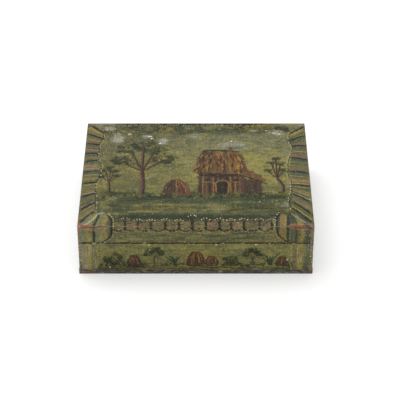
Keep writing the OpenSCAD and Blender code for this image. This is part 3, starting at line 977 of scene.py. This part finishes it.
# Leaves from shade to light, and grass.
LEAF_TONES = ((34, 40, 29), (44, 52, 34), (58, 64, 38), (84, 82, 46), (112, 104, 54))
GRASS_TONES = ((54, 62, 36), (40, 52, 34), (96, 92, 46))
LIT_BARK = (120, 92, 72)
# Branches of a tree: share of its width at which the tip lies, share of its height, and size of the clump.
BRANCHES = ((-0.36, 0.6, 0.2), (0.36, 0.62, 0.2), (-0.2, 0.8, 0.23), (0.2, 0.78, 0.22), (0.02, 0.9, 0.2))


def foliage(brush, centre, radii, count, size):
    """A rounded clump of leaves: a dark soft mass, then dabs that get lighter towards its top."""
    vary = brush.vary

    def inside():
        turn, reach = vary(0, 2 * math.pi), math.sqrt(brush.random.random())
        return centre[0] + radii[0] * reach * math.cos(turn), centre[1] + radii[1] * reach * math.sin(turn)

    for _ in range(count // 4):
        u, v = inside()
        path = [(u - size, v), (u + size, v + vary(-0.4, 0.4) * size)]
        brush.stroke(path, size * 1.9, LEAF_TONES[1], 0.65)
    for _ in range(count):
        u, v = inside()
        light = (v - centre[1]) / radii[1] + vary(-0.9, 0.9)
        tone = LEAF_TONES[min(len(LEAF_TONES) - 1, max(0, round(2 + light * 1.4)))]
        lean, long = vary(0, math.pi), size * vary(0.8, 1.6)
        tip = (u + long * math.cos(lean), v + long * math.sin(lean))
        brush.stroke([(u, v), tip], size * vary(0.36, 0.64), tone, 0.9, 0.1)


def trunk(brush, path, width):
    """A trunk or branch with a dark and a lit side."""
    brush.stroke(path, width * 1.3, BROWN, 1.0, 0.7)
    brush.stroke(shifted(path, width * 0.3), width * 0.5, UMBER, 0.85)
    brush.stroke(shifted(path, -width * 0.24), width * 0.36, LIT_BARK, 0.55)


def tree(brush, u, v, tall, wide):
    """A tree that stands at (u, v): a bent trunk, branches, and a clump of leaves round each tip."""
    bend = brush.vary(-0.06, 0.06) * tall
    thick = tall * 0.055
    fork = (u + bend, v + tall * 0.42)
    trunk(brush, [(u, v), (u - bend * 0.5, v + tall * 0.2), fork], thick)
    leaves, leaf = 16 + int(wide * 0.35), max(2.4, wide * 0.055)
    for share, rise, size in BRANCHES:
        tip = (u + bend + share * wide, v + tall * rise)
        half_way = between(fork, tip, 0.5)
        trunk(brush, [fork, (half_way[0], half_way[1] - tall * 0.02), tip], thick * 0.5)
        foliage(brush, tip, (wide * size, wide * size * 0.62), leaves, leaf)


def tuft(brush, u, v, tall, blades, tone, width=1.5):
    """A tuft of grass that arches outwards."""
    for k in range(blades):
        lean = (k - (blades - 1) / 2) / max(blades - 1, 1) * 1.5 + brush.vary(-0.15, 0.15)
        high = tall * brush.vary(0.7, 1.1)
        path = [(u + k * 0.4, v), (u + lean * tall * 0.3, v + high * 0.6), (u + lean * tall * 0.8, v + high)]
        brush.stroke(path, width, tone, 0.95)


def hatch(brush, corners, count, width, tones, cover):
    """Strokes that fill a four-cornered patch, from its lower to its upper side."""
    pick, vary = brush.pick, brush.vary
    low_a, low_b, high_b, high_a = corners
    for i in range(count):
        share = (i + vary(0.1, 0.9)) / count
        foot, head = between(low_a, low_b, share), between(high_a, high_b, share)
        path = [between(foot, head, vary(-0.03, 0.12)), between(foot, head, vary(0.86, 1.03))]
        brush.stroke(path, width * vary(0.7, 1.3), pick(tones), cover, 0.7)


# The barn's patches, each by its lower left, lower right, upper right and upper left corner.
BARN_WALL = ((4, 0), (58, 0), (58, 50), (4, 50))
BARN_ROOF = ((-4, 44), (64, 44), (54, 92), (8, 94))
BARN_DOOR = ((26, 0), (38, 0), (38, 28), (26, 28))
LEAN_TO = ((58, 0), (80, 0), (80, 30), (58, 42))
LEAN_TO_ROOF = ((56, 42), (86, 26), (78, 42), (55, 60))
PLANKS = ((62, 48, 41), BROWN, (84, 62, 50), (56, 45, 39), (92, 64, 50))
THATCH = ((92, 68, 47), (104, 77, 49), (78, 57, 44), RUSSET, (116, 87, 52))
STRAWS = 110
STRAW_TONES = (AMBER, AMBER, UMBER, UMBER, BROWN, (160, 130, 74))
WINDOWS = (14, 49)
# Patches in painting order: corners, strokes, their width, tones and cover.
BARN_WALLS = (
    (LEAN_TO, 9, 7.0, ((54, 44, 38), BROWN, (64, 50, 42)), 0.95), (BARN_WALL, 16, 9.0, PLANKS, 0.95),
    (BARN_WALL, 11, 2.4, (UMBER, UMBER, (112, 84, 62), UMBER), 0.7), (BARN_WALL, 4, 2.6, (AMBER, OCHRE), 0.6),
    (BARN_DOOR, 5, 5.0, (UMBER, (36, 33, 30)), 1.0),
)
BARN_ROOFS = ((LEAN_TO_ROOF, 9, 7.5, THATCH, 0.95), (BARN_ROOF, 20, 10.0, THATCH, 0.95))
# Lines in painting order: points, width, tone and cover.
BARN_FRAMES = (
    (((25.5, 0), (25, 28), (39, 28), (38.5, 0)), 2.8, AMBER, 0.8),
    *(row for x in WINDOWS for row in (
        (((x - 4, 32), (x + 4, 32)), 8.0, UMBER, 0.95), (((x - 5, 27.5), (x + 5, 27.5)), 2.4, AMBER, 0.7))),
    (((3, 44), (30, 42), (59, 44)), 9.0, UMBER, 0.8),
)
BARN_RIDGES = (
    (((7, 94), (30, 95.5), (55, 92)), 5.0, UMBER, 0.9), (((55, 62), (56, 44)), 3.0, UMBER, 0.6),
    (((56, 41), (72, 33), (87, 23)), 3.4, UMBER, 0.8), (((43, 92), (43.5, 104)), 7.0, RUSSET, 1.0),
)


def barn(brush, u, v):
    """A plank barn under a thatched roof, with a lean-to at its right; u and v are its left foot."""
    pick, vary = brush.pick, brush.vary

    def placed(points):
        return [(u + a, v + b) for a, b in points]

    def fill(patches):
        for corners, count, width, tones, cover in patches:
            hatch(brush, placed(corners), count, width, tones, cover)

    def outline(lines):
        for points, width, tone, cover in lines:
            brush.stroke(placed(points), width, tone, cover, 0.7)

    fill(BARN_WALLS)
    outline(BARN_FRAMES)
    fill(BARN_ROOFS)
    low_a, low_b, high_b, high_a = placed(BARN_ROOF)
    for _ in range(STRAWS):
        share, rise = brush.random.random(), vary(-0.02, 0.82)
        foot, head = between(low_a, low_b, share), between(high_a, high_b, share)
        tone = pick(STRAW_TONES)
        brush.stroke([between(foot, head, rise), between(foot, head, rise + 0.18)], 2.4, tone, 0.7)
    outline(BARN_RIDGES)


# Ribs of a stack, and the loose straws on it.
STACK_RIBS = 9
STACK_STRAWS = 14
STACK_TONES = (BROWN, BROWN, RUSSET, (70, 54, 44))
STACK_STRAW_TONES = (AMBER, UMBER, UMBER, RUSSET, AMBER, (126, 96, 56))


def haystack(brush, u, v, wide, tall):
    """A rounded stack of straw with a dark foot."""
    pick, vary = brush.pick, brush.vary

    def rib(share, start, end):
        return [(u + share * wide * (1 - 0.15 * start), v + tall * start),
                (u + share * wide * 0.85, v + tall * (start + end) / 2.1),
                (u + share * wide * 0.2, v + tall * end)]

    for k in range(STACK_RIBS):
        path = rib(k / (STACK_RIBS - 1) - 0.5, 0.0, 1.0)
        brush.stroke(path, wide * 0.28, pick(STACK_TONES), 1.0, 0.6)
    for _ in range(STACK_STRAWS):
        path = rib(vary(-0.46, 0.46), vary(0, 0.5), vary(0.6, 1.0))
        brush.stroke(path, max(0.9, wide * 0.05), pick(STACK_STRAW_TONES), 0.75, 0.2)
    foot = [(u - wide * 0.55, v - 0.6), (u + wide * 0.55, v - 0.6)]
    brush.stroke(foot, max(2.0, wide * 0.1), UMBER, 0.8)


# Patches of sky: how many, and their tones high up, low at the left and low at the right.
SKY_PATCHES = 110
HIGH_SKY = ((104, 110, 70), (120, 120, 84), (88, 96, 64))
LOW_SKY_LEFT = ((124, 118, 60), (116, 111, 66), (100, 100, 62))
LOW_SKY_RIGHT = ((156, 145, 60), (150, 140, 66), (118, 118, 70))
# White flakes of the picture: start and length.
FLAKES = (
    (-63, 79, 8), (-58, 73, 4), (-87, 85, 5), (87, 91, 5), (43, 69, 3), (97, 87, 5), (104, 84, 4),
    (-46, 62, 3), (-34, -46, 3), (60, -37, 10),
)


def lid_sky(brush):
    """Thin patches of sky colour, and white flakes in them."""
    pick, vary = brush.pick, brush.vary
    for _ in range(SKY_PATCHES):
        u, v = vary(-112, 96), vary(-42, 88)
        low_tones = LOW_SKY_RIGHT if u > -20 else LOW_SKY_LEFT
        tones = low_tones if v < 50 else HIGH_SKY
        tip = (u + vary(6, 22), v + vary(-4, 4))
        brush.stroke([(u, v), tip], vary(4, 10), pick(tones), 0.4)
    for u, v, long in FLAKES:
        for _ in range(2):
            start = (u + vary(-1, 1), v + vary(-1.6, 1.6))
            tip = (start[0] + long * vary(0.6, 1.1), start[1] + vary(-0.8, 0.8))
            brush.stroke([start, tip], vary(1.2, 2.2), WHITE, 0.85, 0.05)


# Pale rises of the ground under the horizon: path, width and tone.
RISES = (
    (((-116, -38), (-80, -30), (-50, -36), (20, -42)), 11, (88, 94, 60)),
    (((10, -42), (60, -32), (116, -38)), 12, (86, 92, 62)),
)
# Dark stretches of the meadow: left end, y, length and depth.
MEADOW_SHADE = (
    (-114, -55, 110, 9), (0, -54, 112, 9), (38, -73, 74, 12), (-114, -72, 44, 12), (-112, -90, 216, 9),
)
SHADE_TONES = ((44, 56, 42), (36, 45, 34), (60, 68, 46))
# Shade strokes are laid one to so many square mm.
SHADE_AREA = 45
MEADOW_STREAKS = 130
MEADOW_TONES = ((58, 66, 42), (48, 58, 40), (100, 97, 54), (80, 85, 54), (56, 70, 54))
LIT_MEADOW = ((150, 136, 64), (136, 124, 60), (110, 101, 56))
LIT_SHARE = 0.85
HORIZON_BUSHES = 26
HORIZON_TUFTS = 70


def lid_ground(brush):
    """Meadow in streaks of dark green, teal and ochre, with low bushes along the horizon."""
    pick, vary = brush.pick, brush.vary
    for path, width, tone in RISES:
        brush.stroke(path, width, tone, 0.5)
    for u, v, long, wide in MEADOW_SHADE:
        for _ in range(int(long * wide / SHADE_AREA)):
            start = (u + vary(0, long * 0.7), v + vary(-0.5, 0.5) * wide)
            tip = (start[0] + long * vary(0.2, 0.4), start[1] + vary(-1, 1))
            tone = pick(SHADE_TONES)
            brush.stroke([start, tip], vary(4, 9), tone, 0.4, 0.2)
    for _ in range(MEADOW_STREAKS):
        v = vary(-86, -48)
        long = vary(10, 44)
        u = vary(-112, 112 - long)
        lit = -82 < v < -66 and abs(u + long / 2 + 16) < 54 and brush.random.random() < LIT_SHARE
        path = [(u, v), (u + long / 2, v + vary(-1.5, 1.5)), (u + long, v)]
        width = vary(2.0, 6.0)
        brush.stroke(path, width, pick(LIT_MEADOW if lit else MEADOW_TONES), 0.42, 0.1)
    for _ in range(HORIZON_BUSHES):
        centre = (vary(-112, 110), vary(-47, -42))
        foliage(brush, centre, (vary(4, 9), vary(2, 4)), 6, 2.8)


def lid_picture():
    """A plain farm landscape of meadow, sky, a barn, a stack and trees. Gives its canvas."""
    brush = Brush(lid_surface, PICTURE_SEED)
    pick, vary = brush.pick, brush.vary
    lid_sky(brush)
    lid_ground(brush)
    tree(brush, u=-66, v=-48, tall=122, wide=74)
    tree(brush, u=-106, v=-46, tall=62, wide=26)
    barn(brush, u=0, v=-48)
    haystack(brush, u=-24, v=-49, wide=30, tall=34)
    tree(brush, u=104, v=-47, tall=84, wide=26)
    for _ in range(HORIZON_TUFTS):
        u, v, tall = vary(-113, 111), vary(-55, -47), vary(4, 11)
        tuft(brush, u, v, tall, 4, pick(GRASS_TONES))
    brush.piece("lid_picture", "lid")
    return brush.canvas


def lid_ornament(canvas):
    """The borders, ticks and corners round the picture, over the lid's edges and down its walls."""
    brush = Brush(lid_surface, ORNAMENT_SEED, canvas)
    lid_front_field(brush)
    side_border(brush, -1, LEFT_RAYS, LEFT_RIM)
    side_border(brush, 1, RIGHT_RAYS, RIGHT_RIM)
    tick_band(brush, -1, FRONT_TICKS, MIDDLE_TICK, reach=12.5, tones=FRONT_BAYS, size=0.85)
    tick_band(brush, 1, BACK_TICKS, None, reach=6.0, tones=BACK_BAYS, size=0.6)
    red_rubs(brush)
    corner_block(brush, -1, LEFT_CORNER, LEFT_BOW, LEFT_MITRE)
    corner_block(brush, 1, RIGHT_CORNER, RIGHT_BOW, RIGHT_MITRE)
    brush.piece("lid_ornament", "lid")


# Corner stripes and wavy lines of the lower box: distance from the end, width, tone.
LEFT_POST = ((5.8, 7.6, (126, 126, 106)), (11.8, 10.0, (154, 138, 82)), (18.4, 8.0, (104, 112, 84)))
RIGHT_POST = ((7.2, 10.4, (80, 90, 74)), (15.8, 11.5, (154, 138, 78)))
LEFT_WAVES = ((22.4, 1.8, (160, 148, 98)),)
RIGHT_WAVES = ((22.4, 4.6, (98, 92, 76)), (26.6, 1.9, (158, 147, 96)))
WAVE_STEPS = 14
POST_STREAKS = 26
POST_STREAK_TONES = (OLIVE, TEAL, (172, 158, 106), (116, 94, 70), (158, 152, 128), (166, 150, 90))


def base_corner(brush, half, side, high):
    """The upright stripes of a corner of the lower box, with wavy lines inside them."""
    pick, vary = brush.pick, brush.vary
    low = BOTTOM_T + 0.3
    posts, waves = (LEFT_POST, LEFT_WAVES) if side < 0 else (RIGHT_POST, RIGHT_WAVES)
    for distance, width, tone in posts:
        u = side * (half - distance)
        brush.stroke([(u, low), (u + 0.3, (low + high) / 2), (u, high)], width, tone, 0.7, 0.95)
    for _ in range(POST_STREAKS):
        u, v = side * (half - vary(3, 20)), vary(low, high - 12)
        tone = pick(POST_STREAK_TONES)
        tip = min(v + vary(5, 16), high)
        brush.stroke([(u, v), (u + 0.4, tip)], vary(0.9, 2.0), tone, 0.6, 0.2)
    for distance, width, tone in waves:
        wave = []
        for k in range(WAVE_STEPS + 1):
            swing = half - distance + 0.6 * math.sin(k * 1.35) + vary(-0.4, 0.4)
            wave.append((side * swing, low + (high - low) * k / WAVE_STEPS))
        brush.stroke(wave, width, tone, 0.55, 0.7)


# Tones of the walls' sky, ground and large tufts.
WALL_SKY = ((146, 136, 70), (90, 98, 66), (132, 124, 76), (84, 90, 60))
WALL_GROUND = ((52, 54, 36), (64, 66, 42), (118, 108, 62), (84, 64, 47), (50, 60, 42), (136, 125, 78))
WALL_TUFT = (50, 62, 44)
# Heights on a wall: the sky's foot, the ground's top, and the foot of what stands on it.
SKY_FOOT, GROUND_TOP, STAND = 18, 15, 12
# The ends of a wall that its corner stripes take.
POST_ROOM = 26


def frieze(brush, half, plan, high):
    """Sky and low ground with grass, and the things of a plan standing on it."""
    pick, vary = brush.pick, brush.vary
    reach = half - POST_ROOM
    for _ in range(int(half / 3)):
        long = vary(8, 26)
        width = vary(2, 6)
        u, v = vary(-reach, reach - long), vary(SKY_FOOT, high - width * 0.6)
        tone = pick(WALL_SKY)
        brush.stroke([(u, v), (u + long, v - vary(0, 1))], width, tone, 0.42)
    for _ in range(int(half / 1.6)):
        long = vary(8, 28)
        u, v = vary(-reach, reach - long), vary(BOTTOM_T + 2.2, GROUND_TOP)
        tone = pick(WALL_GROUND)
        path = [(u, v), (u + long / 2, v + vary(-0.7, 1.0)), (u + long, v)]
        brush.stroke(path, vary(1.4, 3.2), tone, 0.7)
    for _ in range(int(half / 3)):
        u, v, tall = vary(-reach, reach), vary(9, 14), vary(3, 6)
        tuft(brush, u, v, tall, 3, pick(GRASS_TONES[:2]), 1.3)
    for kind, u, size in plan:
        if kind == "stack":
            haystack(brush, u, STAND + 1, size, size * 1.05)
        elif kind == "tuft":
            tuft(brush, u, STAND, size, 7, WALL_TUFT, 2.0)
        elif kind == "bush":
            foliage(brush, (u, STAND + size * 0.5), (size * 0.6, size * 0.5), 60, size * 0.19)
        elif kind == "tree":
            tree(brush, u, STAND, size, size * 0.8)


# What stands on each wall: kind, place and size.
FRIEZES = {
    "front": (("bush", -100, 19), ("stack", -74, 15), ("tree", -50, 28), ("tuft", -26, 15), ("stack", 0, 20),
              ("stack", 19, 14), ("bush", 42, 15), ("tree", 68, 27), ("tuft", 88, 18), ("stack", 103, 13)),
    "left": (("tuft", -64, 16), ("bush", -30, 14), ("tree", 4, 28), ("stack", 34, 14), ("tuft", 64, 15)),
    "right": (("bush", -60, 15), ("stack", -28, 13), ("tuft", 2, 17), ("tree", 36, 28), ("bush", 66, 12)),
    "back": (("bush", -86, 14), ("tuft", -40, 15), ("stack", 14, 14), ("bush", 78, 13)),
}
# The corners of each wall that the hinge groove cuts into.
GROOVED = {"front": (), "left": (-1,), "right": (1,), "back": (-1, 1)}
# Flakes of the front: start and length.
FRONT_FLAKES = (
    (-57, 42.8, 3), (23, 43.5, 2.5), (70, 44, 3), (108, 20.6, 2.5), (-56, 36, 1.5), (-134, 12, 3),
    (-136, 30, 2), (-138, 20, 2), (136, 26, 2), (-104, 9, 2),
)


def base_painting():
    """The four painted walls of the lower box."""
    for seed, (side, plan) in enumerate(FRIEZES.items(), FIRST_WALL_SEED):
        half = HALF_W if side in ("front", "back") else HALF_D
        brush = Brush(wall_surface(side), seed)
        frieze(brush, half, plan, GROOVE_LOW if side == "back" else WALL_HIGH)
        for corner in (-1, 1):
            base_corner(brush, half, corner, GROOVE_LOW if corner in GROOVED[side] else WALL_HIGH)
        if side == "front":
            for u, v, long in FRONT_FLAKES:
                brush.stroke([(u, v), (u + long, v + 0.6)], 1.8, WHITE, 0.9, 0.05)
        brush.piece("base_" + side + "_painting", "base")


# Stage

FLOOR_SIZE = 12
FLOOR_GREY = (0.8, 0.8, 0.8, 1)
FLOOR_GLOW = 0.34
WHITE_LIGHT = (1, 1, 1, 1)
AMBIENT = 0.66
# Lamps: place in metres, size and power.
LAMPS = {"key": ((-0.5, 0.6, 2.2), 1.8, 22.5), "fill": ((0.3, -2.4, 0.7), 1.2, 5.5)}
CAMERA_PLACE = (0.0049, -1.5638, 1.1853)
CAMERA_ELEVATION = 36.49
CAMERA_LENS = 139.95
CAMERA_SENSOR = 36


def background_rays(g):
    """1 for rays that show the background: from the camera, from gloss and through glass."""
    rays = g.node("ShaderNodeLightPath").outputs
    return g.most(rays["Is Camera Ray"], rays["Is Glossy Ray"], rays["Is Transmission Ray"])


def floor():
    """A pale floor that keeps the shadow."""
    g = Graph(bpy.data.materials.new("floor"))
    pale = g.node("ShaderNodeBsdfDiffuse", {"Color": FLOOR_GREY})
    glow = g.node("ShaderNodeEmission", {"Strength": g.times(background_rays(g), FLOOR_GLOW)})
    both = g.node("ShaderNodeAddShader", {0: pale.outputs[0], 1: glow.outputs[0]})
    g.node("ShaderNodeOutputMaterial", {"Surface": both.outputs[0]})
    bpy.ops.mesh.primitive_plane_add(size=FLOOR_SIZE)
    made = bpy.context.object
    made.name = "floor"
    made.data.materials.append(g.owner)


def surround():
    """An even soft light all round, which is seen as plain white."""
    g = Graph(bpy.data.worlds.new("studio"))
    soft = g.node("ShaderNodeBackground", {"Color": WHITE_LIGHT, "Strength": AMBIENT})
    white = g.node("ShaderNodeBackground", {"Color": WHITE_LIGHT, "Strength": 1.0})
    both = g.node("ShaderNodeMixShader", {0: background_rays(g), 1: soft.outputs[0], 2: white.outputs[0]})
    g.node("ShaderNodeOutputWorld", {"Surface": both.outputs[0]})
    bpy.context.scene.world = g.owner


def lamps():
    """A soft lamp from above and a fill from the front."""
    for name, (place, size, power) in LAMPS.items():
        lamp = bpy.data.lights.new(name, "AREA")
        lamp.size = size
        lamp.energy = power
        made = bpy.data.objects.new(name, lamp)
        made.location = place
        made.rotation_euler = (-made.location).to_track_quat("-Z", "Y").to_euler()
        bpy.context.scene.collection.objects.link(made)


def camera():
    """The photograph's view, in true colours."""
    data = bpy.data.cameras.new("camera")
    data.sensor_width = CAMERA_SENSOR
    data.lens = CAMERA_LENS
    made = bpy.data.objects.new("camera", data)
    made.location = CAMERA_PLACE
    made.rotation_euler = (math.radians(90 - CAMERA_ELEVATION), 0, 0)
    bpy.context.scene.collection.objects.link(made)
    bpy.context.scene.camera = made
    bpy.context.scene.view_settings.view_transform = "Standard"


def dress(nodes, material):
    """Gives the solids of these nodes a material."""
    for name in nodes:
        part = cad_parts[name]
        part.data.materials.clear()
        part.data.materials.append(material)


# Boards with their grain along x and along y, each with the nails that were painted over with them.
LONG_BOARDS = (
    "base_front_wall", "base_back_wall", "lid_front_rail", "lid_back_rail", "lid_panel", "lid_panel_nails",
)
SIDE_BOARDS = (
    "base_left_wall", "base_right_wall", "lid_left_rail", "lid_right_rail", "base_corner_nails",
    "lid_corner_nails",
)
BARE_NAILS = ("bottom_board_nails", "base_leaf_nails", "lid_leaf_nails")
PAPERS = [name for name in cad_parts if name.endswith("_paper")]
IRONS = [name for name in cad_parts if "hinge" in name or name in BARE_NAILS]
STROKE_PAINT = stroke_paint()

dress(LONG_BOARDS, painted_wood("x"))
dress(SIDE_BOARDS, painted_wood("y"))
dress(("bottom_board",), bottom_wood())
dress(IRONS, iron())
dress(PAPERS, lining_paper())
lid_ornament(lid_picture())
base_painting()
floor()
surround()
lamps()
camera()
